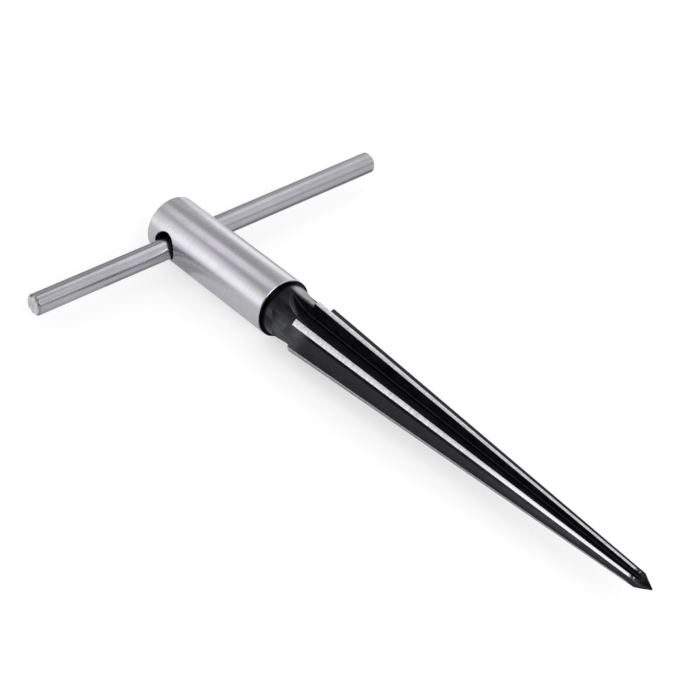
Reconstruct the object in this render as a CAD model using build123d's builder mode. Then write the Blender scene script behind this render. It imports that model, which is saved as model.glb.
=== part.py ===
from build123d import *

import os
from math import asin, cos, degrees, radians, sin

# A T-handled tapered hand reamer for bridge pin holes, lying on its sleeve. Millimetres.
# The origin is the centre of the sleeve's rear face. +X runs along the tool's axis to the point of
# the blade, the T-bar lies along Y, and +Z is up.

# Sleeve: a turned cylinder, bored in front for the shank and cross-drilled near its rear for the bar.
sleeve_diameter = 13.0
sleeve_length = 38.2
sleeve_front_chamfer = 0.25
sleeve_rear_chamfer = 0.4
bore_mouth_chamfer = 0.3
hole_to_rear = 6.2
hole_edge_break = 0.15
hole_to_bore_web = 3.8

# T-bar: a plain rod, loose in the cross hole, resting on the hole's lower wall.
bar_diameter = 4.76
bar_length = 91.0
bar_end_chamfer = 0.5
bar_off_centre = 5.6
bar_play = 1.64
bar_seat_gap = 0.05

# Blade behind the flutes: shank in the bore, thin collar against the sleeve, neck.
shank_diameter = 9.0
press_interference = 0.02
shank_end_gap = 0.5
shank_end_chamfer = 0.5
collar_step_down = 0.05
collar_thickness = 0.4
collar_edge_chamfer = 0.1
ledge_step_down = 0.45
ledge_thickness = 0.2
neck_root_diameter = 11.6
neck_diameter = 10.9
neck_flare_length = 4.5
neck_length = 9.05

# Blade's taper and point.
taper_big_diameter = 12.92
taper_small_diameter = 3.34
taper_length = 92.15
taper_start_bevel = 0.15
point_length = 3.1
point_flat_diameter = 0.3

# Flutes: each is milled by a wheel, which leaves a flat cutting face on one side and a floor on the other
# that rises from the root in a shallow dish. Angles are in degrees.
flute_count = 6
flute_phase = 81.2
flute_face_ahead_of_centre = 0.4
flute_root_radius = 0.35
flute_floor_lean = 4.3
flute_floor_radius = 26.0
flute_full_depth_from_sleeve = 9.2
core_radius_at_full_depth = 3.29
core_radius_at_small_end = 0.83
wheel_radius = 13.0
wheel_arc = 55.0
cutter_overrun = 1.0

# Places and radii that follow from the sizes above.
sleeve_radius = sleeve_diameter / 2
bar_radius = bar_diameter / 2
hole_radius = (bar_diameter + bar_play) / 2
bar_drop = bar_play / 2 - bar_seat_gap
bore_end = hole_to_rear + hole_radius + hole_to_bore_web
bore_radius = (shank_diameter - press_interference) / 2
shank_radius = shank_diameter / 2
shank_end = bore_end + shank_end_gap
collar_radius = sleeve_radius - collar_step_down
collar_front = sleeve_length + collar_thickness
ledge_front = collar_front + ledge_thickness
flare_end = ledge_front + neck_flare_length
neck_end = sleeve_length + neck_length
taper_big_radius = taper_big_diameter / 2
taper_end = neck_end + taper_length
point_end = taper_end + point_length
flute_start = sleeve_length + flute_full_depth_from_sleeve

with BuildPart() as sleeve:
    with BuildSketch(Plane.YZ):
        Circle(sleeve_radius)
    extrude(amount=sleeve_length)
    chamfer(sleeve.faces().sort_by(Axis.X)[-1].edges(), sleeve_front_chamfer)
    chamfer(sleeve.faces().sort_by(Axis.X)[0].edges(), sleeve_rear_chamfer)
    with BuildSketch(Plane.YZ.offset(sleeve_length)):
        Circle(bore_radius)
    extrude(amount=bore_end - sleeve_length, mode=Mode.SUBTRACT)
    front_face = sleeve.faces().filter_by(GeomType.PLANE).sort_by(Axis.X)[-1]
    chamfer(front_face.edges().sort_by(SortBy.RADIUS)[0], bore_mouth_chamfer)
    with BuildSketch(Plane.XZ):
        with Locations((hole_to_rear, 0)):
            Circle(hole_radius)
    extrude(amount=sleeve_diameter, both=True, mode=Mode.SUBTRACT)
    hole_mouths = sleeve.edges().filter_by(GeomType.BSPLINE)
    chamfer(hole_mouths, hole_edge_break)

with BuildPart() as t_bar:
    bar_start = (hole_to_rear, bar_off_centre - bar_length / 2, -bar_drop)
    with BuildSketch(Plane(origin=bar_start, x_dir=(1, 0, 0), z_dir=(0, 1, 0))):
        Circle(bar_radius)
    extrude(amount=bar_length)
    chamfer(t_bar.edges().filter_by(GeomType.CIRCLE), bar_end_chamfer)

with BuildPart() as flute_cutter:
    root_start = Vector(flute_start, -flute_face_ahead_of_centre, core_radius_at_full_depth)
    root_end = Vector(taper_end, -flute_face_ahead_of_centre, core_radius_at_small_end)
    section_plane = Plane(origin=root_start, x_dir=(0, 1, 0), z_dir=root_end - root_start)
    reach = taper_big_radius + cutter_overrun
    floor_lean = radians(flute_floor_lean)
    floor_end_lean = asin(sin(floor_lean) + reach / flute_floor_radius)
    with BuildSketch(section_plane) as flute_section:
        with BuildLine():
            floor = JernArc(
                start=(0, 0),
                tangent=(-cos(floor_lean), sin(floor_lean)),
                radius=flute_floor_radius,
                arc_size=degrees(floor_lean - floor_end_lean),
            )
            Polyline(floor @ 1, (-reach, reach), (0, reach), (0, 0))
        make_face()
        root_corner = flute_section.vertices().sort_by_distance(root_start)[0]
        fillet(root_corner, flute_root_radius)
    extrude(amount=(root_end - root_start).length + point_length + cutter_overrun)
    wheel_centre = root_start + section_plane.y_dir * wheel_radius
    revolve(
        flute_section.sketch,
        axis=Axis(wheel_centre, section_plane.x_dir),
        revolution_arc=wheel_arc,
    )

with BuildPart() as reamer_blade:
    with BuildSketch(Plane.XZ):
        with BuildLine():
            Polyline(
                (shank_end, 0),
                (shank_end, shank_radius - shank_end_chamfer),
                (shank_end + shank_end_chamfer, shank_radius),
                (sleeve_length, shank_radius),
                (sleeve_length, collar_radius),
                (collar_front - collar_edge_chamfer, collar_radius),
                (collar_front, collar_radius - collar_edge_chamfer),
                (collar_front, collar_radius - ledge_step_down),
                (ledge_front, neck_root_diameter / 2),
            )
            TangentArc(
                (flare_end, neck_diameter / 2),
                (ledge_front, neck_root_diameter / 2),
                tangent=(-1, 0),
            )
            Polyline(
                (flare_end, neck_diameter / 2),
                (neck_end, neck_diameter / 2),
                (neck_end, taper_big_radius - taper_start_bevel),
                (neck_end + taper_start_bevel, taper_big_radius),
                (taper_end, taper_small_diameter / 2),
                (point_end, point_flat_diameter / 2),
                (point_end, 0),
                (shank_end, 0),
            )
        make_face()
    revolve(axis=Axis.X)
    flute_turns = [flute_phase - 90 + 360 * number / flute_count for number in range(flute_count)]
    with Locations([Location((0, 0, 0), (turn, 0, 0)) for turn in flute_turns]):
        add(flute_cutter.part, mode=Mode.SUBTRACT)

sleeve.part.label = "sleeve"
t_bar.part.label = "t_bar"
reamer_blade.part.label = "reamer_blade"

os.makedirs("parts", exist_ok=True)
for piece in (sleeve.part, t_bar.part, reamer_blade.part):
    export_step(piece, f"parts/{piece.label}.step")
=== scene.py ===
"""A bridge pin hole reamer in a plain pale studio.

The tool is a T-handled hand reamer. A satin steel sleeve grips the blade and carries a steel bar
that slides through it, and the blade is a blackened six-fluted taper with ground cutting margins.
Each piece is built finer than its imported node, in the same place, and stands for that node.

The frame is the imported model's: +X runs along the tool to the point of the blade, the bar lies
along Y and +Z is up. Sizes in the classes are millimetres, and a finished mesh is in metres.
"""

from __future__ import annotations

import logging
import math
from dataclasses import dataclass
from enum import Enum
from typing import Any

import bmesh
import bpy
from mathutils import Matrix, Vector


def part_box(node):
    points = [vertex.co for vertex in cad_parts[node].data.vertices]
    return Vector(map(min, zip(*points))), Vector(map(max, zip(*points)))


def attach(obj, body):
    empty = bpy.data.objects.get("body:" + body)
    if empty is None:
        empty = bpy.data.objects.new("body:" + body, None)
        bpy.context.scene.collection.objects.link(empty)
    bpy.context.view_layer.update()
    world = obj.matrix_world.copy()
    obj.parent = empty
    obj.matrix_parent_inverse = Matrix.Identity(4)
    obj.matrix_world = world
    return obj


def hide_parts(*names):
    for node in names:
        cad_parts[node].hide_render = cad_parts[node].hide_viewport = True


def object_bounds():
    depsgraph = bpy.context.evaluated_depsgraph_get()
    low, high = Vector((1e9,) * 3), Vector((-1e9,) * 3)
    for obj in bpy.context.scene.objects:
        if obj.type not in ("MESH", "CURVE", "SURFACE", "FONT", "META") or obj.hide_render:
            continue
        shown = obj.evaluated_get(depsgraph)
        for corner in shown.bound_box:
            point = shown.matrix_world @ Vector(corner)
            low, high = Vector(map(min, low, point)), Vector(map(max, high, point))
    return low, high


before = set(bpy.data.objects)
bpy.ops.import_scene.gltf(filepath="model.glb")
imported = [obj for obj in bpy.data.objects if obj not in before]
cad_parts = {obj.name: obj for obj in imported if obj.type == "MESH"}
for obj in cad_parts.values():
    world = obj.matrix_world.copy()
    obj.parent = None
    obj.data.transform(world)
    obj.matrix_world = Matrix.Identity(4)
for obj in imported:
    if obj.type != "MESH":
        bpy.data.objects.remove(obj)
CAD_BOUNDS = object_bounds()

LOG = logging.getLogger("reamer")
MM = 0.001
ORIGIN = (0.0, 0.0, 0.0)
X_AXIS = (1.0, 0.0, 0.0)

# A run is where a mask is 0 and where it is full. A side is what BladeSurface.toward takes.
Run = tuple[float, float]
Side = tuple[float, float]
Point = tuple[float, float]
Profile = list[Point]
Place = tuple[float, float, float]
Colour = tuple[float, float, float, float]
Solid = bmesh.types.BMesh
Object = bpy.types.Object
Material = bpy.types.Material
Tree = bpy.types.NodeTree
Socket = bpy.types.NodeSocket


def node_box(node: str) -> tuple[Vector, Vector]:
    """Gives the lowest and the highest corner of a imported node's box, in millimetres."""
    low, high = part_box(node)
    return low / MM, high / MM


def lathe(profile: Profile, steps: int) -> Solid:
    """Spins a profile about the X axis into a closed solid.

    Args:
        profile: Points as (x, radius), from the axis at one end to the axis at the other.
        steps: Number of flats in a full turn.

    Returns:
        The solid, with its faces outwards.
    """
    solid = bmesh.new()
    points = [solid.verts.new((x, 0.0, radius)) for x, radius in profile]
    lines = [solid.edges.new(pair) for pair in zip(points, points[1:])]
    bmesh.ops.spin(
        solid,
        geom=points + lines,
        cent=ORIGIN,
        axis=X_AXIS,
        angle=math.tau,
        steps=steps,
        use_merge=True,
    )
    bmesh.ops.remove_doubles(solid, verts=solid.verts, dist=1e-5)
    bmesh.ops.recalc_face_normals(solid, faces=solid.faces)
    return solid


def ring_edges(solid: Solid, x: float, radius: float) -> list[bmesh.types.BMEdge]:
    """Finds the edges of one circle of a turned solid.

    Args:
        solid: A solid spun about the X axis.
        x: Where the circle lies along the axis.
        radius: Radius of the circle.

    Returns:
        The edges with both ends on that circle.
    """
    tolerance = 1e-3

    def on_circle(vert: bmesh.types.BMVert) -> bool:
        """Says if a vertex lies on the circle."""
        off_radius = abs(math.hypot(vert.co.y, vert.co.z) - radius)
        return abs(vert.co.x - x) < tolerance and off_radius < tolerance

    return [edge for edge in solid.edges if all(on_circle(vert) for vert in edge.verts)]


def round_rings(solid: Solid, rings: Profile, radius: float, segments: int = 3) -> None:
    """Rounds circular edges of a turned solid.

    Args:
        solid: A solid spun about the X axis.
        rings: The circles to round, each as (x, radius).
        radius: How far the rounding reaches from each edge.
        segments: Number of flats in each rounding.
    """
    edges = [edge for x, ring_radius in rings for edge in ring_edges(solid, x, ring_radius)]
    bmesh.ops.bevel(
        solid,
        geom=edges,
        offset=radius,
        offset_type="OFFSET",
        affect="EDGES",
        segments=segments,
        profile=0.5,
        material=-1,
        clamp_overlap=True,
    )


def arc_points(start: Point, end: Point, steps: int) -> Profile:
    """Draws the arc that starts steeply and runs level into its end.

    The arc's centre lies at start's radius plus the arc's own radius, straight out from end, so the
    arc is level where it reaches end.

    Args:
        start: (x, radius) of the steep end.
        end: (x, radius) of the level end.
        steps: Number of straight stretches.

    Returns:
        The points between start and end, with end and without start.
    """
    run = end[0] - start[0]
    drop = start[1] - end[1]
    radius = (run * run + drop * drop) / (2 * drop)
    sweep = math.asin(run / radius)
    points = []
    for step in range(1, steps + 1):
        angle = sweep * (1 - step / steps)
        points.append((end[0] - radius * math.sin(angle), end[1] + radius * (1 - math.cos(angle))))
    return points


def as_object(solid: Solid, name: str) -> Object:
    """Turns a solid into a linked object at the origin and frees the solid.

    Args:
        solid: The solid.
        name: Name of the object and its mesh.

    Returns:
        The object, in the solid's own unit.
    """
    mesh = bpy.data.meshes.new(name)
    solid.to_mesh(mesh)
    solid.free()
    piece = bpy.data.objects.new(name, mesh)
    bpy.context.scene.collection.objects.link(piece)
    return piece


def new_points(made: dict[str, Any]) -> list[bmesh.types.BMVert]:
    """Picks the vertices out of what an operator made."""
    return [item for item in made["geom"] if isinstance(item, bmesh.types.BMVert)]


def cut_away(blank: Object, cutters: list[Object]) -> None:
    """Cuts solids out of a blank, one after another, and deletes the cutters.

    Args:
        blank: The piece that is cut.
        cutters: The solids to take away.
    """
    for cutter in cutters:
        modifier = blank.modifiers.new(cutter.name, "BOOLEAN")
        modifier.operation = "DIFFERENCE"
        modifier.solver = "EXACT"
        modifier.object = cutter
    evaluated = blank.evaluated_get(bpy.context.evaluated_depsgraph_get())
    whole = bpy.data.meshes.new_from_object(evaluated)
    before = blank.data
    blank.modifiers.clear()
    blank.data = whole
    bpy.data.meshes.remove(before)
    for cutter in cutters:
        mesh = cutter.data
        bpy.data.objects.remove(cutter)
        bpy.data.meshes.remove(mesh)


def finish_piece(piece: Object, sharp_above: float) -> None:
    """Scales a piece to metres and shades it smooth up to an angle.

    Args:
        piece: The piece, built in millimetres.
        sharp_above: Angle between faces, in degrees, above which their edge stays sharp.
    """
    solid = bmesh.new()
    solid.from_mesh(piece.data)
    bmesh.ops.remove_doubles(solid, verts=solid.verts, dist=1e-5)
    bmesh.ops.dissolve_degenerate(solid, edges=solid.edges, dist=1e-6)
    bmesh.ops.scale(solid, vec=(MM, MM, MM), verts=solid.verts)
    solid.to_mesh(piece.data)
    solid.free()
    piece.data.shade_smooth()
    piece.data.set_sharp_from_angle(angle=math.radians(sharp_above))


class Graph:
    """Adds nodes to a node tree and links them as it goes."""

    def __init__(self, tree: Tree) -> None:
        """Starts on a tree."""
        self.tree = tree

    def add(self, kind: str, inputs: dict[Any, Any] | None = None, **settings: Any) -> bpy.types.Node:
        """Adds one node.

        Args:
            kind: Blender's name for the node's type.
            inputs: For each input socket by name or number, the socket to link or the value to set.
            settings: Properties of the node itself.

        Returns:
            The new node.
        """
        node = self.tree.nodes.new(kind)
        for name, value in settings.items():
            setattr(node, name, value)
        for key, value in (inputs or {}).items():
            if isinstance(value, Socket):
                self.link(value, node.inputs[key])
            else:
                node.inputs[key].default_value = value
        return node

    def link(self, source: Socket, target: Socket) -> None:
        """Links an output socket to an input socket."""
        self.tree.links.new(source, target)

    def math(self, operation: str, *terms: Socket | float) -> Socket:
        """Adds a Math node for one to three terms and gives its result."""
        return self.add("ShaderNodeMath", dict(enumerate(terms)), operation=operation).outputs[0]

    def chain(self, operation: str, first: Socket, *others: Socket | float) -> Socket:
        """Applies an operation of two terms to a row of terms, one after another.

        Args:
            operation: Blender's name for the operation.
            first: The first term.
            others: The terms that follow it.

        Returns:
            The result's socket.
        """
        result = first
        for other in others:
            result = self.math(operation, result, other)
        return result

    def product(self, *terms: Socket | float) -> Socket:
        """Multiplies terms."""
        return self.chain("MULTIPLY", *terms)

    def highest(self, *terms: Socket | float) -> Socket:
        """Takes the highest of terms."""
        return self.chain("MAXIMUM", *terms)

    def split(self, vector: Socket) -> Any:
        """Splits a vector into sockets named X, Y and Z."""
        return self.add("ShaderNodeSeparateXYZ", {0: vector}).outputs

    def off_axis(self, parts: Any) -> Socket:
        """Works out how far a split position lies from the X axis."""
        squares = [self.product(parts[axis], parts[axis]) for axis in "YZ"]
        return self.math("SQRT", self.math("ADD", *squares))

    def noise(self, vector: Socket, **settings: Socket | float) -> Socket:
        """Adds a noise from 0 to 1, with its other inputs by name."""
        return self.add("ShaderNodeTexNoise", {"Vector": vector, **settings}).outputs[0]

    def effect(self, group: Tree, **inputs: Any) -> Any:
        """Adds a shared effect with its inputs by name, and gives its outputs."""
        return self.add("ShaderNodeGroup", inputs, node_tree=group).outputs

    def bump(self, height: Socket, depth: float) -> Socket:
        """Makes a bumped normal from a height and its depth in millimetres."""
        inputs = {"Height": height, "Strength": 0.5, "Distance": depth * MM}
        return self.add("ShaderNodeBump", inputs).outputs[0]

    def ramp(
        self, value: Socket, low: float, high: float, out_low: float = 0.0, out_high: float = 1.0
    ) -> Socket:
        """Maps a value smoothly from one range to another.

        Args:
            value: The value to map.
            low: Value that gives out_low.
            high: Value that gives out_high.
            out_low: Result at and below low.
            out_high: Result at and above high.

        Returns:
            The result's socket.
        """
        inputs = {
            "Value": value,
            "From Min": low,
            "From Max": high,
            "To Min": out_low,
            "To Max": out_high,
        }
        node = self.add("ShaderNodeMapRange", inputs, interpolation_type="SMOOTHSTEP")
        return node.outputs["Result"]

    def blend(self, factor: Socket, first: Socket | Colour, second: Socket | Colour) -> Socket:
        """Mixes two colours, where factor is the share of the second."""
        colour_inputs = {0: factor, 6: first, 7: second}
        return self.add("ShaderNodeMix", colour_inputs, data_type="RGBA").outputs[2]

    def cover(self, painted: Socket, factor: Socket, colour: Socket | Colour) -> None:
        """Covers the colour that is linked to an input with another, by a factor."""
        self.link(self.blend(factor, painted.links[0].from_socket, colour), painted)


def new_group(name: str, inputs: dict[str, str], outputs: dict[str, str]) -> tuple[Graph, Any, Any]:
    """Starts a shader node group.

    Args:
        name: Name of the group.
        inputs: Socket type of each input, by name.
        outputs: Socket type of each output, by name.

    Returns:
        The group's graph, its input node and its output node.
    """
    tree = bpy.data.node_groups.new(name, "ShaderNodeTree")
    for socket_name, kind in inputs.items():
        tree.interface.new_socket(name=socket_name, in_out="INPUT", socket_type=kind)
    for socket_name, kind in outputs.items():
        tree.interface.new_socket(name=socket_name, in_out="OUTPUT", socket_type=kind)
    graph = Graph(tree)
    return graph, graph.add("NodeGroupInput"), graph.add("NodeGroupOutput")


VECTOR = "NodeSocketVector"
VALUE = "NodeSocketFloat"


def machining_group() -> Tree:
    """Builds the group of tool marks, which run square to the direction of the largest stretch.

    Returns:
        A group with inputs Position and Stretch and outputs Marks and Height.
    """
    graph, given, made = new_group(
        "machining_marks",
        {"Position": VECTOR, "Stretch": VECTOR},
        {"Marks": VALUE, "Height": VALUE},
    )
    stretch = {0: given.outputs["Position"], 1: given.outputs["Stretch"]}
    stretched = graph.add("ShaderNodeVectorMath", stretch, operation="MULTIPLY").outputs[0]
    broad = graph.noise(stretched, Scale=0.35, Detail=2.0, Roughness=0.6)
    fine = graph.noise(stretched, Scale=1.6, Detail=3.0, Roughness=0.7)
    fine_share = 0.7
    both = graph.math("ADD", graph.product(broad, 1 - fine_share), graph.product(fine, fine_share))
    graph.link(graph.ramp(both, low=0.3, high=0.7), made.inputs["Marks"])
    graph.link(fine, made.inputs["Height"])
    return graph.tree


def mottle_group() -> Tree:
    """Builds the group of soft uneven patches that handling and heat leave.

    Returns:
        A group with inputs Position and Scale and an output Patches.
    """
    graph, given, made = new_group(
        "handling_mottle", {"Position": VECTOR, "Scale": VALUE}, {"Patches": VALUE}
    )
    position, scale = given.outputs["Position"], given.outputs["Scale"]
    noise = graph.noise(position, Scale=scale, Detail=5.0, Roughness=0.62, Distortion=0.4)
    graph.link(graph.ramp(noise, low=0.32, high=0.68), made.inputs["Patches"])
    return graph.tree


def edge_group() -> Tree:
    """Builds the group of edge wear: a ragged band beside an edge.

    Returns:
        A group with inputs Position, Distance, Width and Ragged and an output Worn.
    """
    graph, given, made = new_group(
        "edge_wear",
        {"Position": VECTOR, "Distance": VALUE, "Width": VALUE, "Ragged": VALUE},
        {"Worn": VALUE},
    )
    noise = graph.noise(given.outputs["Position"], Scale=2.2, Detail=3.0)
    shift = graph.product(graph.math("SUBTRACT", noise, 0.5), given.outputs["Ragged"])
    moved = graph.math("ADD", given.outputs["Distance"], shift)
    share = graph.math("DIVIDE", moved, given.outputs["Width"])
    graph.link(graph.ramp(share, low=1.0, high=0.0), made.inputs["Worn"])
    return graph.tree


class MarkRun(Enum):
    """How far machining marks repeat along X, Y and Z, in marks to the millimetre."""

    ROUND_X = (6.0, 0.08, 0.08)
    ALONG_Y = (6.0, 0.05, 6.0)
    ROUND_X_COARSE = (6.0, 1.9, 1.9)


@dataclass(frozen=True)
class Effects:
    """The shader groups that the finishes share."""

    machining: Tree
    mottle: Tree
    edge: Tree

    @classmethod
    def build(cls) -> Effects:
        """Builds the groups once."""
        return cls(machining_group(), mottle_group(), edge_group())


def blank_material(name: str) -> tuple[Material, Graph]:
    """Starts a material without nodes.

    Args:
        name: Name of the material.

    Returns:
        The material and its graph.
    """
    material = bpy.data.materials.new(name)
    material.use_nodes = True
    material.node_tree.nodes.clear()
    return material, Graph(material.node_tree)


def start_material(name: str) -> tuple[Material, Graph, Socket, Any]:
    """Starts a material of one Principled shader, with positions in millimetres.

    Args:
        name: Name of the material.

    Returns:
        The material, its graph, the position socket and the shader.
    """
    material, graph = blank_material(name)
    coordinates = graph.add("ShaderNodeTexCoord").outputs["Object"]
    to_millimetres = {"Vector": coordinates, "Scale": (1 / MM, 1 / MM, 1 / MM)}
    position = graph.add("ShaderNodeMapping", to_millimetres).outputs[0]
    shader = graph.add("ShaderNodeBsdfPrincipled")
    graph.add("ShaderNodeOutputMaterial", {"Surface": shader.outputs[0]})
    return material, graph, position, shader


@dataclass(frozen=True)
class TurnedSteel:
    """Bare steel with machining marks and soft handling stains."""

    name: str
    tint: Colour
    mark_tint: Colour
    marks: MarkRun
    roughness: float
    roughness_spread: float
    mark_depth: float
    stain_scale: float = 0.16
    stain_share: float = 0.4

    def build(self, effects: Effects) -> tuple[Material, Graph, Socket, Any]:
        """Builds the finish.

        Args:
            effects: The shared shader groups.

        Returns:
            The material, its graph, the position socket and the shader, for a piece to add to.
        """
        material, graph, position, shader = start_material(self.name)
        marks = graph.effect(effects.machining, Position=position, Stretch=self.marks.value)
        patches = graph.effect(effects.mottle, Position=position, Scale=self.stain_scale)["Patches"]
        marked = graph.product(marks["Marks"], 1 - self.stain_share)
        worked = graph.math("ADD", marked, graph.product(patches, self.stain_share))
        spread = graph.product(worked, self.roughness_spread)
        roughness = graph.math("SUBTRACT", self.roughness + self.roughness_spread / 2, spread)
        graph.link(graph.blend(worked, self.mark_tint, self.tint), shader.inputs["Base Color"])
        graph.link(roughness, shader.inputs["Roughness"])
        graph.link(graph.bump(marks["Height"], self.mark_depth), shader.inputs["Normal"])
        shader.inputs["Metallic"].default_value = 1.0
        return material, graph, position, shader


@dataclass(frozen=True)
class BladeSurface:
    """Tells a finish where on the blade it is."""

    graph: Graph
    parts: Any
    radius: Socket
    blade: Blade
    land_fade: float = 1.6
    root_fade: float = 0.2
    root_off_face: Run = (0.0, 0.15)
    root_off_floor: Run = (0.97, 0.9)
    clearance: float = 0.02

    @classmethod
    def read(cls, graph: Graph, position: Socket, blade: Blade) -> BladeSurface:
        """Splits a position in millimetres and works out how far it lies from the tool's axis."""
        parts = graph.split(position)
        return cls(graph, parts, graph.off_axis(parts), blade)

    def along(self, run: Run, share: float = 1.0, start: float = 0.0) -> Socket:
        """Grows from 0 to share over a run along the tool, which is measured from start."""
        return self.graph.ramp(self.parts["X"], start + run[0], start + run[1], 0.0, share)

    def behind(self, x: float) -> Socket:
        """Is 1 behind a place along the tool and 0 in front of it."""
        return self.graph.math("LESS_THAN", self.parts["X"], x)

    def past(self, x: float) -> Socket:
        """Is 1 in front of a place along the tool and 0 behind it."""
        return self.graph.math("GREATER_THAN", self.parts["X"], x)

    def toward(self, side: Side) -> Socket:
        """Finds one side of the blade.

        Args:
            side: Which way it faces, in degrees from +Y through +Z, and the cosine of the angle
                from that way at which it starts.

        Returns:
            1 along that side and 0 away from it.
        """
        graph, angle, edge = self.graph, math.radians(side[0]), side[1]
        right = graph.product(self.parts["Y"], math.cos(angle))
        facing = graph.math("ADD", right, graph.product(self.parts["Z"], math.sin(angle)))
        full = 1 - (1 - edge) / 4
        return graph.ramp(graph.math("DIVIDE", facing, self.radius), edge, full)

    def facing_out(self) -> Socket:
        """Works out how squarely the surface faces away from the tool's axis.

        Returns:
            1 where it faces straight out and 0 where it faces along the turn.
        """
        graph = self.graph
        facing = graph.split(graph.add("ShaderNodeTexCoord").outputs["Normal"])
        right = graph.product(facing["Y"], self.parts["Y"])
        outwards = graph.math("ADD", right, graph.product(facing["Z"], self.parts["Z"]))
        return graph.math("DIVIDE", outwards, self.radius)

    def off_cone(self, big_radius: float, small_radius: float) -> Socket:
        """Works out how far the surface lies outside a cone.

        Args:
            big_radius: The cone's radius where the taper starts.
            small_radius: The cone's radius where the taper ends.

        Returns:
            The distance square to the tool's axis, which is below 0 inside the cone.
        """
        start = self.blade.neck_end
        slope = (big_radius - small_radius) / (self.blade.taper_end - start)
        cone = self.graph.math("MULTIPLY_ADD", self.parts["X"], -slope, big_radius + slope * start)
        return self.graph.math("SUBTRACT", self.radius, cone)

    def lands(self, depth: float) -> Socket:
        """Finds the lands between the flutes.

        Args:
            depth: How far below the taper's cone they still count.

        Returns:
            1 on the lands and 0 elsewhere.
        """
        off_taper = self.off_cone(self.blade.big_radius, self.blade.small_radius)
        on_taper = self.graph.ramp(off_taper, -depth * self.land_fade, -depth)
        return self.graph.product(on_taper, self.past(self.blade.neck_end - self.clearance))

    def roots(self) -> Socket:
        """Finds the rounded roots of the flutes.

        Returns:
            1 on the rounding and 0 on the cutting faces, the floors and the lands.
        """
        graph, blade = self.graph, self.blade
        off_core = self.off_cone(blade.core_at_full_depth, blade.core_at_small_end)
        near_core = graph.ramp(off_core, blade.root_radius + self.root_fade, blade.root_radius)
        facing_out = self.facing_out()
        off_face = graph.ramp(facing_out, *self.root_off_face)
        off_floor = graph.ramp(facing_out, *self.root_off_floor)
        return graph.product(near_core, off_face, off_floor)

    def neck(self, turned_above: float, lip_width: float) -> tuple[Socket, Socket]:
        """Finds the turned surface of the neck and the lips where the flutes run out through it.

        Args:
            turned_above: How squarely the turned surface faces out, at the least.
            lip_width: How far the lips reach down into the flutes.

        Returns:
            The mask of the turned surface and the mask of the lips.
        """
        graph, blade = self.graph, self.blade
        turned = graph.math("GREATER_THAN", self.facing_out(), turned_above)
        flare_start = blade.collar_front + blade.ledge_thickness
        flare_height = blade.neck_root_radius - blade.neck_radius
        flare_end = flare_start + blade.flare_length
        flare = graph.ramp(self.parts["X"], flare_start, flare_end, flare_height, 0.0)
        below = graph.math("SUBTRACT", graph.math("ADD", flare, blade.neck_radius), self.radius)
        near_surface = graph.ramp(below, lip_width, 0.0)
        ahead_of_ledge = self.past(flare_start + self.clearance)
        on_neck = graph.product(self.behind(blade.neck_end - self.clearance), ahead_of_ledge)
        lip_highlight = graph.product(near_surface, graph.math("SUBTRACT", 1.0, turned))
        return graph.product(turned, on_neck), graph.product(lip_highlight, on_neck)


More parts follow.
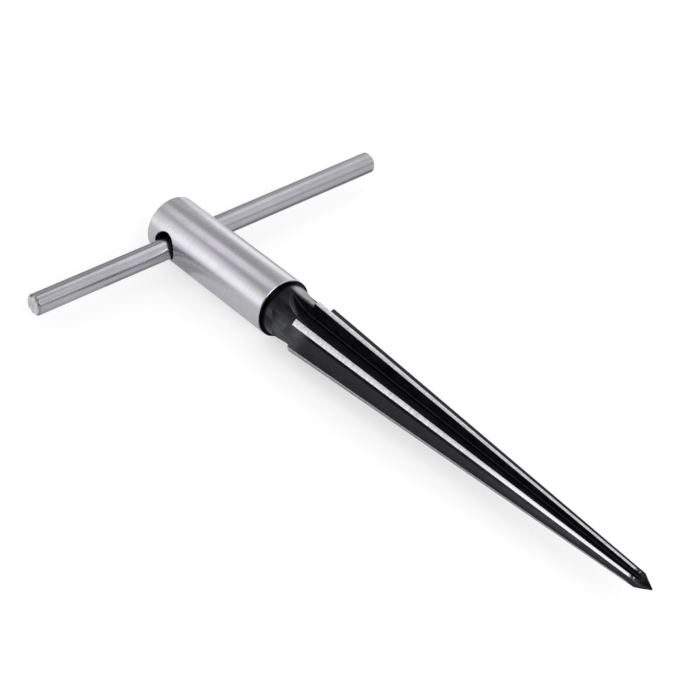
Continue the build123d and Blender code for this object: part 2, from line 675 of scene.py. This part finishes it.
@dataclass(frozen=True)
class BlackOxide:
    """Blackened steel, bright where the cutting lands are ground through it.

    The collar shade's run is measured from the collar and the straw's from the end of the taper, in mm.
    """

    name: str = "black_oxide_steel"
    black: Colour = (0.0018, 0.0018, 0.0024, 1.0)
    grey: Colour = (0.011, 0.0105, 0.0145, 1.0)
    patch_scale: float = 0.35
    speck_scale: float = 1.7
    smoke: Colour = (0.012, 0.0125, 0.015, 1.0)
    smoke_share: float = 0.7
    # Painted light: lighter colour on one side below the neck and beside a land toward the point.
    painted_light: Colour = (0.1, 0.103, 0.115, 1.0)
    painted_light_side: Side = (190.0, 0.64)
    painted_light_least: float = 0.5
    painted_light_start: Run = (40.5, 43.0)
    painted_light_end: Run = (51.0, 46.5)
    tip_light_side: Side = (163.0, 0.87)
    tip_light_start: Run = (82.0, 132.0)
    tip_light_share: float = 0.6
    straw: Colour = (0.017, 0.013, 0.0115, 1.0)
    straw_share: float = 0.8
    straw_run: Run = (-0.5, 0.8)
    # Painted highlight along the lips where the flutes run out through the neck.
    lip_highlight: Colour = (0.16, 0.165, 0.18, 1.0)
    lip_width: float = 0.09
    turned_above: float = 0.965
    # Painted highlight: a lighter band high on the neck and a fainter streak on its -Y side.
    neck_highlight: Colour = (0.34, 0.34, 0.355, 1.0)
    neck_highlight_least: float = 0.6
    neck_highlight_side: Side = (64.0, 0.94)
    streak_highlight_side: Side = (157.0, 0.985)
    streak_highlight_share: float = 0.16
    # Painted shade just in front of the collar: the black is darkened and its reflection dulled there.
    collar_shade: Colour = (0.004, 0.004, 0.0045, 1.0)
    collar_shade_run: Run = (1.6, 0.1)
    # Painted shade in the flute roots, where their reflection is dulled.
    root_shade: float = 0.9
    neck_soot: float = 0.45
    ground: Colour = (0.93, 0.925, 0.94, 1.0)
    ground_mark: Colour = (0.4, 0.4, 0.413, 1.0)
    ground_roughness: float = 0.36
    ground_depth: float = 0.03
    ground_end: float = 137.6
    flake_patches: Run = (0.7, 0.9)
    flake_share: float = 0.7
    flakes_to_end: float = 0.2
    # Painted highlight: one land is painted brighter toward the point.
    land_highlight_side: Side = (143.0, 0.95)
    land_highlight_start: Run = (88.0, 112.0)
    land_highlight_share: float = 0.9
    mark_depth: float = 0.012
    sheen: Colour = (0.94, 0.92, 1.0, 1.0)
    specular: float = 0.36
    roughness: tuple[float, float] = (0.15, 0.25)

    def build(self, effects: Effects, blade: Blade) -> Material:
        """Builds the finish.

        Args:
            effects: The shared shader groups.
            blade: The blade, whose sizes say where its parts are.

        Returns:
            The material.
        """
        material, graph, position, shader = start_material(self.name)
        surface = BladeSurface.read(graph, position, blade)
        coarse = MarkRun.ROUND_X_COARSE.value
        marks = graph.effect(effects.machining, Position=position, Stretch=coarse)
        patches = graph.effect(effects.mottle, Position=position, Scale=self.patch_scale)["Patches"]
        specks = graph.effect(effects.mottle, Position=position, Scale=self.speck_scale)["Patches"]
        from_end = graph.math("SUBTRACT", surface.parts["X"], self.ground_end)
        worn = graph.effect(effects.edge, Position=position, Distance=from_end, Width=1.0, Ragged=0.8)
        flakes = graph.ramp(patches, *self.flake_patches, 0.0, self.flake_share)
        flakes = graph.product(flakes, surface.behind(blade.taper_end - self.flakes_to_end))
        bare = graph.product(surface.lands(self.ground_depth), graph.highest(worn["Worn"], flakes))

        # Painted shade in front of the collar.
        collar_shade_mask = surface.along(self.collar_shade_run, start=blade.collar_front)
        on_neck, on_lip = surface.neck(self.turned_above, self.lip_width)
        # Painted highlight bands on the turned neck, uneven by patches.
        highlight_streak = graph.product(surface.toward(self.streak_highlight_side), self.streak_highlight_share)
        neck_highlight_mask = graph.highest(surface.toward(self.neck_highlight_side), highlight_streak)
        neck_highlight_mask = graph.product(neck_highlight_mask, on_neck, graph.ramp(patches, 0.0, 1.0, self.neck_highlight_least))
        # Painted light on one side of the blade, uneven by patches.
        painted_light_mask = graph.product(self.lit_sides(surface), graph.ramp(patches, 0.0, 1.0, self.painted_light_least))
        heated = surface.along(self.straw_run, self.straw_share, blade.taper_end)
        oxide = graph.blend(graph.product(patches, specks), self.black, self.grey)
        for share, colour in (
            (graph.product(patches, self.smoke_share, on_neck), self.smoke),
            (neck_highlight_mask, self.neck_highlight),
            # Painted highlight on the lips.
            (on_lip, self.lip_highlight),
            (painted_light_mask, self.painted_light),
            (graph.product(heated, patches), self.straw),
            (collar_shade_mask, self.collar_shade),
        ):
            oxide = graph.blend(share, oxide, colour)

        # Painted highlight on one land toward the point; smooth carries it together with the real
        # grinding marks.
        land_highlight = graph.product(
            surface.toward(self.land_highlight_side), surface.along(self.land_highlight_start, self.land_highlight_share)
        )
        smooth = graph.highest(marks["Marks"], land_highlight)
        bright = graph.blend(smooth, self.ground_mark, self.ground)
        graph.link(graph.blend(bare, oxide, bright), shader.inputs["Base Color"])
        # Painted shade: metal of near black kills the reflection in the flute roots.
        root_shade_mask = graph.product(surface.roots(), self.root_shade)
        dulled = graph.highest(bare, collar_shade_mask, root_shade_mask, graph.product(on_neck, self.neck_soot))
        graph.link(dulled, shader.inputs["Metallic"])
        patchy = graph.ramp(patches, 0.0, 1.0, *self.roughness)
        levels = {"Factor": bare, "A": patchy, "B": self.ground_roughness}
        roughness = graph.add("ShaderNodeMix", levels, data_type="FLOAT").outputs[0]
        graph.link(roughness, shader.inputs["Roughness"])
        graph.link(graph.bump(marks["Height"], self.mark_depth), shader.inputs["Normal"])
        shader.inputs["Specular IOR Level"].default_value = self.specular
        shader.inputs["Specular Tint"].default_value = self.sheen
        return material

    def lit_sides(self, surface: BladeSurface) -> Socket:
        """Finds where painted light lightens the black: below the neck, and beside a land toward the
        point.

        Args:
            surface: The blade's surface.

        Returns:
            1 where the painted light is full and 0 where there is none.
        """
        graph = surface.graph
        neck_run = graph.product(surface.along(self.painted_light_start), surface.along(self.painted_light_end))
        neck_light = graph.product(surface.toward(self.painted_light_side), neck_run)
        tip_run = surface.along(self.tip_light_start, self.tip_light_share)
        return graph.highest(neck_light, graph.product(surface.toward(self.tip_light_side), tip_run))


@dataclass
class Sleeve:
    """The turned sleeve, bored in front for the shank and cross-drilled for the bar."""

    length: float
    radius: float
    front_chamfer: float = 0.25
    rear_chamfer: float = 0.4
    chamfer_rounding: float = 0.06
    bore_radius: float = 4.49
    bore_mouth_chamfer: float = 0.3
    bore_end: float = 13.2
    hole_to_rear: float = 6.2
    hole_radius: float = 3.2
    hole_edge_break: float = 0.07
    # Painted shade inside the cross hole: its wall is darkened below the sleeve's surface.
    hole_shade_depths: Run = (0.5, 2.2)
    hole_shade_margin: float = 0.5
    hole_shade: Colour = (0.07, 0.064, 0.064, 1.0)
    flats: int = 240

    @classmethod
    def from_frame(cls) -> Sleeve:
        """Takes the sleeve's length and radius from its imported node."""
        low, high = node_box("sleeve")
        return cls(length=high.x - low.x, radius=high.z)

    def turned_blank(self) -> Solid:
        """Turns the sleeve with its bore and chamfers.

        Returns:
            The sleeve without its cross hole.
        """
        rear_rim = self.radius - self.rear_chamfer
        front_rim = self.radius - self.front_chamfer
        profile = [
            (0.0, 0.0),
            (0.0, rear_rim),
            (self.rear_chamfer, self.radius),
            (self.length - self.front_chamfer, self.radius),
            (self.length, front_rim),
            (self.length, self.bore_radius + self.bore_mouth_chamfer),
            (self.length - self.bore_mouth_chamfer, self.bore_radius),
            (self.bore_end, self.bore_radius),
            (self.bore_end, 0.0),
        ]
        blank = lathe(profile, self.flats)
        round_rings(blank, [profile[1], profile[2]], self.chamfer_rounding)
        round_rings(blank, [profile[3], profile[4]], self.chamfer_rounding)
        return blank

    @property
    def hole_place(self) -> Matrix:
        """Where the cross hole lies: the matrix that takes Z to the hole's axis."""
        return Matrix.Translation((self.hole_to_rear, 0, 0)) @ Matrix.Rotation(math.pi / 2, 4, "X")

    def hole_cutter(self) -> Object:
        """Makes the drill that crosses the sleeve along Y.

        Returns:
            A cylinder longer than the sleeve is wide.
        """
        drill = bmesh.new()
        bmesh.ops.create_cone(
            drill,
            cap_ends=True,
            segments=self.flats // 2,
            radius1=self.hole_radius,
            radius2=self.hole_radius,
            depth=4 * self.radius,
            matrix=self.hole_place,
        )
        return as_object(drill, "cross_hole_drill")

    def mouth_loop(self, cutter: Solid, radius: float, lift: float, side: int) -> list[Any]:
        """Draws a closed line that follows the sleeve's surface round a mouth of the cross hole.

        Args:
            cutter: The mesh that the line is drawn in.
            radius: Radius of the line seen along Y.
            lift: How far it stands out from the sleeve's surface.
            side: 1 for the mouth at +Y and -1 for the one at -Y.

        Returns:
            The line's edges.
        """
        steps = self.flats // 2
        off_drill_corners = Matrix.Rotation(0.4 * math.tau / steps, 4, "Z")
        made = bmesh.ops.create_circle(
            cutter, segments=steps, radius=radius, matrix=self.hole_place @ off_drill_corners
        )
        for vert in made["verts"]:
            vert.co.y = side * (math.sqrt(self.radius**2 - vert.co.z**2) + lift)
        return list({edge for vert in made["verts"] for edge in vert.link_edges})

    def mouth_cutter(self, side: int) -> Object:
        """Makes the ring that breaks the edge of one mouth of the cross hole.

        Args:
            side: 1 for the mouth at +Y and -1 for the one at -Y.

        Returns:
            A ring of three-sided section.
        """
        ring = bmesh.new()
        reach = self.hole_edge_break
        spare = reach / 3
        loops = [
            self.mouth_loop(ring, self.hole_radius + reach + spare, spare, side),
            self.mouth_loop(ring, self.hole_radius - spare, -reach - spare, side),
            self.mouth_loop(ring, self.hole_radius - reach, reach, side),
        ]
        for first, second in zip(loops, loops[1:] + loops[:1]):
            bmesh.ops.bridge_loops(ring, edges=first + second)
        bmesh.ops.recalc_face_normals(ring, faces=ring.faces)
        return as_object(ring, f"mouth_break_{'right' if side > 0 else 'left'}")

    def finish(self, effects: Effects) -> Material:
        """Dresses the sleeve in turned satin steel, with painted shade inside the cross hole.

        Args:
            effects: The shared shader groups.

        Returns:
            The sleeve's material.
        """
        steel = TurnedSteel(
            name="satin_steel",
            tint=(0.64, 0.63, 0.672, 1.0),
            mark_tint=(0.59, 0.581, 0.621, 1.0),
            marks=MarkRun.ROUND_X,
            roughness=0.27,
            roughness_spread=0.08,
            mark_depth=0.008,
        )
        material, graph, position, shader = steel.build(effects)
        parts = graph.split(position)
        # Painted shade: the cross hole's wall is darkened more the deeper it lies below the surface.
        depth = graph.math("SUBTRACT", self.radius, graph.off_axis(parts))
        inside = graph.ramp(depth, *self.hole_shade_depths)
        reach = self.hole_radius + self.hole_shade_margin
        past_rear = graph.math("GREATER_THAN", parts["X"], self.hole_to_rear - reach)
        behind_bore = graph.math("LESS_THAN", parts["X"], self.hole_to_rear + reach)
        hole_shade_mask = graph.product(inside, past_rear, behind_bore)
        graph.cover(shader.inputs["Base Color"], hole_shade_mask, self.hole_shade)
        return material

    def build(self, effects: Effects) -> Object:
        """Builds and dresses the sleeve.

        Args:
            effects: The shared shader groups.

        Returns:
            The finished piece.
        """
        piece = as_object(self.turned_blank(), "turned_sleeve")
        cut_away(piece, [self.hole_cutter(), self.mouth_cutter(1), self.mouth_cutter(-1)])
        finish_piece(piece, sharp_above=30)
        piece.data.materials.append(self.finish(effects))
        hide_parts("sleeve")
        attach(piece, "tool")
        return piece


@dataclass
class SlidingBar:
    """The plain rod that slides through the sleeve's cross hole."""

    length: float
    radius: float
    centre: Vector
    end_chamfer: float = 0.5
    chamfer_rounding: float = 0.08
    # The chamfers carry painted shade, and the end faces a painted highlight under their stains.
    chamfer_shade: Colour = (0.36, 0.355, 0.37, 1.0)
    chamfer_fade: float = 0.15
    face_highlight: Colour = (0.86, 0.85, 0.87, 1.0)
    face_stain: Colour = (0.5, 0.49, 0.5, 1.0)
    face_stain_scale: float = 0.9
    face_run: Run = (0.1, 0.02)
    face_roughness: float = 0.3
    right_start: Run = (-6.0, 12.0)
    right_roughening: float = 0.1
    flats: int = 128

    @classmethod
    def from_frame(cls) -> SlidingBar:
        """Takes the bar's length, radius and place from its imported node."""
        low, high = node_box("t_bar")
        return cls(length=high.y - low.y, radius=(high.x - low.x) / 2, centre=(low + high) / 2)

    def finish(self, effects: Effects) -> Material:
        """Dresses the bar in drawn steel, with a painted highlight on its sawn end faces and painted
        shade on their chamfers.

        Args:
            effects: The shared shader groups.

        Returns:
            The bar's material.
        """
        steel = TurnedSteel(
            name="bar_steel",
            tint=(0.59, 0.578, 0.628, 1.0),
            mark_tint=(0.47, 0.46, 0.502, 1.0),
            marks=MarkRun.ALONG_Y,
            roughness=0.2,
            roughness_spread=0.08,
            mark_depth=0.006,
        )
        material, graph, position, shader = steel.build(effects)
        along = graph.split(position)["Y"]
        from_middle = graph.math("ABSOLUTE", graph.math("SUBTRACT", along, self.centre.y))
        to_end = graph.math("SUBTRACT", self.length / 2, from_middle)
        # Painted shade on the chamfers and a painted highlight on the end faces.
        chamfer = graph.ramp(to_end, self.end_chamfer + self.chamfer_fade, self.end_chamfer)
        face = graph.ramp(to_end, *self.face_run)
        patches = graph.effect(effects.mottle, Position=position, Scale=self.face_stain_scale)["Patches"]
        face_stain_and_highlight = graph.blend(patches, self.face_stain, self.face_highlight)
        graph.cover(shader.inputs["Base Color"], chamfer, self.chamfer_shade)
        graph.cover(shader.inputs["Base Color"], face, face_stain_and_highlight)
        polish = shader.inputs["Roughness"].links[0].from_socket
        right = graph.ramp(along, *self.right_start, 0.0, self.right_roughening)
        drawn = graph.math("ADD", polish, right)
        roughness = graph.highest(drawn, graph.product(face, self.face_roughness))
        graph.link(roughness, shader.inputs["Roughness"])
        return material

    def build(self, effects: Effects) -> Object:
        """Builds and dresses the bar.

        Args:
            effects: The shared shader groups.

        Returns:
            The finished piece.
        """
        half = self.length / 2
        rim = self.radius - self.end_chamfer
        profile = [
            (-half, 0.0),
            (-half, rim),
            (-half + self.end_chamfer, self.radius),
            (half - self.end_chamfer, self.radius),
            (half, rim),
            (half, 0.0),
        ]
        rod = lathe(profile, self.flats)
        round_rings(rod, profile[1:-1], self.chamfer_rounding, segments=4)
        place = Matrix.Translation(self.centre) @ Matrix.Rotation(math.pi / 2, 4, "Z")
        bmesh.ops.transform(rod, matrix=place, verts=rod.verts)
        piece = as_object(rod, "sliding_bar")
        finish_piece(piece, sharp_above=30)
        piece.data.materials.append(self.finish(effects))
        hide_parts("t_bar")
        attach(piece, "bar")
        return piece


@dataclass
class Blade:
    """The blade: shank, collar and neck, then the fluted taper and its point."""

    shank_end: float
    point_end: float
    collar_radius: float
    sleeve_front: float
    shank_radius: float = 4.5
    shank_chamfer: float = 0.5
    collar_thickness: float = 0.4
    collar_chamfer: float = 0.1
    ledge_step: float = 0.45
    ledge_thickness: float = 0.2
    neck_root_radius: float = 5.8
    neck_radius: float = 5.45
    flare_length: float = 4.5
    neck_length: float = 9.05
    start_bevel: float = 0.15
    big_radius: float = 6.46
    small_radius: float = 1.67
    point_length: float = 3.1
    point_radius: float = 0.15
    flute_count: int = 6
    flute_phase: float = 81.2
    face_offset: float = 0.4
    root_radius: float = 0.35
    floor_lean: float = 4.3
    floor_radius: float = 26.0
    full_depth_from_sleeve: float = 9.2
    core_at_full_depth: float = 3.29
    core_at_small_end: float = 0.83
    wheel_radius: float = 13.0
    wheel_arc: float = 55.0
    overrun: float = 1.0
    flats: int = 300

    @classmethod
    def from_frame(cls) -> Blade:
        """Takes the blade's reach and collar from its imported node."""
        low, high = node_box("reamer_blade")
        sleeve_front = node_box("sleeve")[1].x
        return cls(shank_end=low.x, point_end=high.x, collar_radius=high.y, sleeve_front=sleeve_front)

    @property
    def collar_front(self) -> float:
        """Where the collar ends and the ledge starts."""
        return self.sleeve_front + self.collar_thickness

    @property
    def neck_end(self) -> float:
        """Where the neck ends and the taper starts."""
        return self.sleeve_front + self.neck_length

    @property
    def taper_end(self) -> float:
        """Where the taper ends and the point starts."""
        return self.point_end - self.point_length

    def turned_blank(self) -> Solid:
        """Turns the blade before its flutes are milled.

        Returns:
            The closed blank.
        """
        ledge_front = self.collar_front + self.ledge_thickness
        flare_start = (ledge_front, self.neck_root_radius)
        flare_end = (ledge_front + self.flare_length, self.neck_radius)
        profile = [
            (self.shank_end, 0.0),
            (self.shank_end, self.shank_radius - self.shank_chamfer),
            (self.shank_end + self.shank_chamfer, self.shank_radius),
            (self.sleeve_front, self.shank_radius),
            (self.sleeve_front, self.collar_radius),
            (self.collar_front - self.collar_chamfer, self.collar_radius),
            (self.collar_front, self.collar_radius - self.collar_chamfer),
            (self.collar_front, self.collar_radius - self.ledge_step),
            flare_start,
            *arc_points(flare_start, flare_end, steps=14),
            (self.neck_end, self.neck_radius),
            (self.neck_end, self.big_radius - self.start_bevel),
            (self.neck_end + self.start_bevel, self.big_radius),
            (self.taper_end, self.small_radius),
            (self.point_end, self.point_radius),
            (self.point_end, 0.0),
        ]
        return lathe(profile, self.flats)

    def flute_section(self, cutter: Solid) -> bmesh.types.BMFace:
        """Draws the flute's section with its root at the origin, the face along +Y and the floor to -X.

        Args:
            cutter: The mesh that the section is drawn in.

        Returns:
            The section's face.
        """
        reach = self.big_radius + self.overrun
        lean = math.radians(self.floor_lean)
        end_lean = math.asin(math.sin(lean) + reach / self.floor_radius)
        root = cutter.verts.new(ORIGIN)
        centre = Vector((math.sin(lean), math.cos(lean), 0.0)) * self.floor_radius
        floor = bmesh.ops.spin(
            cutter, geom=[root], cent=centre, axis=(0, 0, 1), angle=lean - end_lean, steps=12
        )
        far_floor = floor["geom_last"][0]
        top_left = cutter.verts.new((-reach, reach, 0.0))
        top_right = cutter.verts.new((0.0, reach, 0.0))
        for pair in ((far_floor, top_left), (top_left, top_right), (top_right, root)):
            cutter.edges.new(pair)
        bmesh.ops.bevel(
            cutter,
            geom=[root],
            offset=self.root_radius,
            offset_type="OFFSET",
            affect="VERTICES",
            segments=6,
            profile=0.5,
            material=-1,
        )
        return bmesh.ops.contextual_create(cutter, geom=cutter.edges[:])["faces"][0]

    def flute_cutter(self, number: int) -> Object:
        """Makes the path of the wheel that mills one flute.

        Args:
            number: Which flute, from 0.

        Returns:
            A solid that runs out past the point and lifts out of the neck on the wheel's arc.
        """
        cutter = bmesh.new()
        section = self.flute_section(cutter)
        length = self.point_end - self.sleeve_front - self.full_depth_from_sleeve + self.overrun
        run = bmesh.ops.extrude_face_region(cutter, geom=[section])
        bmesh.ops.translate(cutter, vec=(0.0, 0.0, length), verts=new_points(run))
        bmesh.ops.spin(
            cutter,
            geom=[section, *section.edges, *section.verts],
            cent=(0.0, self.wheel_radius, 0.0),
            axis=X_AXIS,
            angle=math.radians(self.wheel_arc),
            steps=48,
        )
        bmesh.ops.recalc_face_normals(cutter, faces=cutter.faces)
        bmesh.ops.transform(cutter, matrix=self.flute_place(number), verts=cutter.verts)
        return as_object(cutter, f"flute_cutter_{number}")

    def flute_place(self, number: int) -> Matrix:
        """Works out where a flute's section stands.

        Args:
            number: Which flute, from 0.

        Returns:
            The matrix that takes the section's X, Y and Z to the blade's Y, radius and root line.
        """
        full_depth = self.sleeve_front + self.full_depth_from_sleeve
        start = Vector((full_depth, -self.face_offset, self.core_at_full_depth))
        end = Vector((self.taper_end, -self.face_offset, self.core_at_small_end))
        ahead = (end - start).normalized()
        across = Vector((0.0, 1.0, 0.0))
        out = ahead.cross(across)
        placed = Matrix((across, out, ahead)).transposed().to_4x4()
        turn = math.radians(self.flute_phase - 90 + 360 * number / self.flute_count)
        return Matrix.Rotation(turn, 4, "X") @ Matrix.Translation(start) @ placed

    def build(self, effects: Effects) -> Object:
        """Builds and dresses the blade.

        Args:
            effects: The shared shader groups.

        Returns:
            The finished piece.
        """
        piece = as_object(self.turned_blank(), "fluted_blade")
        cut_away(piece, [self.flute_cutter(number) for number in range(self.flute_count)])
        finish_piece(piece, sharp_above=20)
        piece.data.materials.append(BlackOxide().build(effects, self))
        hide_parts("reamer_blade")
        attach(piece, "tool")
        return piece


@dataclass(frozen=True)
class Softbox:
    """A large soft lamp that faces the tool."""

    name: str
    place: Place
    width: float
    height: float
    radiance: float
    colour: tuple[float, float, float] = (1.0, 1.0, 1.0)

    def build(self, aim: Vector) -> None:
        """Hangs the lamp.

        Args:
            aim: The point that it faces, in metres.
        """
        lamp = bpy.data.lights.new(self.name, "AREA")
        lamp.shape = "RECTANGLE"
        lamp.size = self.width
        lamp.size_y = self.height
        lamp.energy = self.radiance * math.pi * self.width * self.height
        lamp.color = self.colour
        holder = bpy.data.objects.new(self.name, lamp)
        holder.location = self.place
        holder.rotation_mode = "QUATERNION"
        holder.rotation_quaternion = (aim - Vector(self.place)).to_track_quat("-Z", "Y")
        bpy.context.scene.collection.objects.link(holder)


@dataclass(frozen=True)
class GreyCard:
    """A grey card on the floor that shows only in the steel: standing, a flag; lying, a painted shadow.
    """

    name: str
    near_end: Point
    far_end: Point
    reach: Place
    glow: float
    foot_gap: float = 0.1 * MM

    def build(self, floor_height: float) -> None:
        """Places the card, with its foot on the floor.

        Args:
            floor_height: Height of the floor, in metres.
        """
        sheet = bmesh.new()
        foot_height = floor_height + self.foot_gap
        corners = [sheet.verts.new((x, y, foot_height)) for x, y in (self.near_end, self.far_end)]
        foot = sheet.edges.new(corners)
        raised = bmesh.ops.extrude_edge_only(sheet, edges=[foot])
        bmesh.ops.translate(sheet, vec=self.reach, verts=new_points(raised))
        card = as_object(sheet, self.name)
        material, graph = blank_material(self.name)
        glow = graph.add("ShaderNodeEmission", {"Strength": self.glow})
        graph.add("ShaderNodeOutputMaterial", {"Surface": glow.outputs[0]})
        card.data.materials.append(material)
        card.visible_camera = False
        card.visible_diffuse = False
        card.visible_shadow = False


@dataclass(frozen=True)
class PaleStudio:
    """A white sweep under a grey ceiling, with soft lamps and the camera."""

    floor_height: float
    floor_half_width: float = 6.0
    floor_colour: Colour = (0.6, 0.6, 0.6, 1.0)
    floor_lift: float = 0.56
    mirror_lift: float = 0.26
    wall_glow: float = 1.0
    ceiling_glow: float = 0.4
    wall_top: float = 0.34
    ceiling_start: float = 0.58
    camera_place: Place = (320.692, -241.464, 278.074)
    camera_right: Place = (0.64593493, 0.76191127, 0.04753184)
    camera_ahead: Place = (-0.58567226, 0.53453452, -0.60931178)
    lens: float = 119.61
    sensor: float = 36.0
    lamps: tuple[Softbox, ...] = (
        Softbox("overhead_softbox", (-0.8, -0.06, 1.1), 0.58, 0.6, 0.75, (0.96, 0.93, 1.0)),
        Softbox("bar_softbox", (-0.15, 0.62, 0.95), 0.62, 0.75, 0.7),
        Softbox("side_softbox", (-0.65, -0.8, 0.47), 0.9, 0.75, 0.5),
        Softbox("back_softbox", (-0.5, 0.95, 0.2), 0.6, 0.4, 0.35),
        Softbox("fill_softbox", (0.5, 0.5, 0.75), 0.7, 0.7, 0.4),
        Softbox("key_softbox", (1.0, -0.28, 0.75), 0.95, 0.6, 2.6),
    )
    cards: tuple[GreyCard, ...] = (
        GreyCard("left_card", (-0.6, -0.42), (-0.6, 0.58), (0.0, 0.0, 0.3), 0.26),
        GreyCard("right_card", (0.95, 0.18), (0.57, 0.78), (0.0, 0.0, 0.27), 0.4),
        GreyCard("near_card", (0.95, -0.1), (0.35, -0.9), (0.0, 0.0, 0.5), 0.2),
        # The four cards that lie flat under the bar and the blade are painted shadows that show only in
        # the steel.
        GreyCard("left_bar_shadow_card", (0.004, -0.041), (0.004, -0.021), (0.0075, 0.0, 0.0), 0.56),
        GreyCard("inner_bar_shadow_card", (0.004, -0.021), (0.004, 0.002), (0.0075, 0.0, 0.0), 0.38),
        GreyCard("right_bar_shadow_card", (0.004, 0.002), (0.004, 0.056), (0.0075, 0.0, 0.0), 0.26),
        GreyCard("blade_shadow_card", (0.038, -0.0085), (0.14, -0.0035), (0.0, 0.008, 0.0), 0.28),
    )

    def lay_floor(self) -> None:
        """Lays the floor under the tool, lifted to white where it is seen or mirrored."""
        plane = bmesh.new()
        bmesh.ops.create_grid(plane, x_segments=1, y_segments=1, size=self.floor_half_width / MM)
        bmesh.ops.translate(plane, vec=(0.0, 0.0, self.floor_height), verts=plane.verts)
        floor = as_object(plane, "studio_floor")
        finish_piece(floor, sharp_above=30)
        material, graph = blank_material("floor_paint")
        paint = graph.add("ShaderNodeBsdfDiffuse", {"Color": self.floor_colour})
        path = graph.add("ShaderNodeLightPath").outputs
        seen = graph.product(path["Is Camera Ray"], self.floor_lift)
        past_surface = graph.math("ADD", path["Is Glossy Ray"], path["Is Transmission Ray"])
        lift = graph.math("ADD", seen, graph.product(past_surface, self.mirror_lift))
        glow = graph.add("ShaderNodeEmission", {"Strength": lift})
        both = graph.add("ShaderNodeAddShader", {0: paint.outputs[0], 1: glow.outputs[0]})
        graph.add("ShaderNodeOutputMaterial", {"Surface": both.outputs[0]})
        floor.data.materials.append(material)

    def light_world(self) -> None:
        """Sets the surroundings: white walls up to wall_top, a grey ceiling, and all white to the eye."""
        world = bpy.data.worlds.new("pale_studio")
        bpy.context.scene.world = world
        world.use_nodes = True
        world.node_tree.nodes.clear()
        graph = Graph(world.node_tree)
        height = graph.split(graph.add("ShaderNodeTexCoord").outputs["Generated"])["Z"]
        glow = graph.ramp(height, self.wall_top, self.ceiling_start, self.wall_glow, self.ceiling_glow)
        seen = graph.add("ShaderNodeLightPath").outputs["Is Camera Ray"]
        background = graph.add("ShaderNodeBackground", {"Strength": graph.highest(glow, seen)})
        background.inputs["Color"].default_value = (1.0, 1.0, 1.0, 1.0)
        graph.add("ShaderNodeOutputWorld", {"Surface": background.outputs[0]})

    def set_camera(self) -> None:
        """Stands the camera where the tool is seen from above its point end."""
        lens = bpy.data.cameras.new("camera")
        lens.lens = self.lens
        lens.sensor_width = self.sensor
        camera = bpy.data.objects.new("camera", lens)
        right = Vector(self.camera_right).normalized()
        back = -Vector(self.camera_ahead).normalized()
        up = back.cross(right)
        turned = Matrix((right, up, back)).transposed().to_4x4()
        camera.matrix_world = Matrix.Translation(Vector(self.camera_place) * MM) @ turned
        bpy.context.scene.collection.objects.link(camera)
        bpy.context.scene.camera = camera

    def build(self, aim: Vector) -> None:
        """Sets up floor, surroundings, lamps and camera.

        Args:
            aim: The point that the lamps face, in metres.
        """
        self.lay_floor()
        self.light_world()
        for lamp in self.lamps:
            lamp.build(aim)
        for card in self.cards:
            card.build(self.floor_height * MM)
        self.set_camera()
        bpy.context.scene.view_settings.view_transform = "Standard"


def report_piece(piece: Object) -> None:
    """Logs a piece's name, size and faces.

    Args:
        piece: The finished piece.
    """
    size = ", ".join(f"{side / MM:.2f}" for side in piece.dimensions)
    check = bmesh.new()
    check.from_mesh(piece.data)
    open_edges = sum(1 for edge in check.edges if not edge.is_manifold)
    check.free()
    faces = len(piece.data.polygons)
    LOG.info("%s: %s mm, %d faces, %d open edges", piece.name, size, faces, open_edges)


def main() -> None:
    """Builds the tool's pieces in order and the studio round them."""
    logging.basicConfig(level=logging.INFO, format="%(name)s: %(message)s")
    effects = Effects.build()
    for piece in (Sleeve.from_frame(), SlidingBar.from_frame(), Blade.from_frame()):
        report_piece(piece.build(effects))
    low, high = CAD_BOUNDS
    PaleStudio(floor_height=low.z / MM).build((low + high) / 2)


if __name__ == "__main__":
    main()
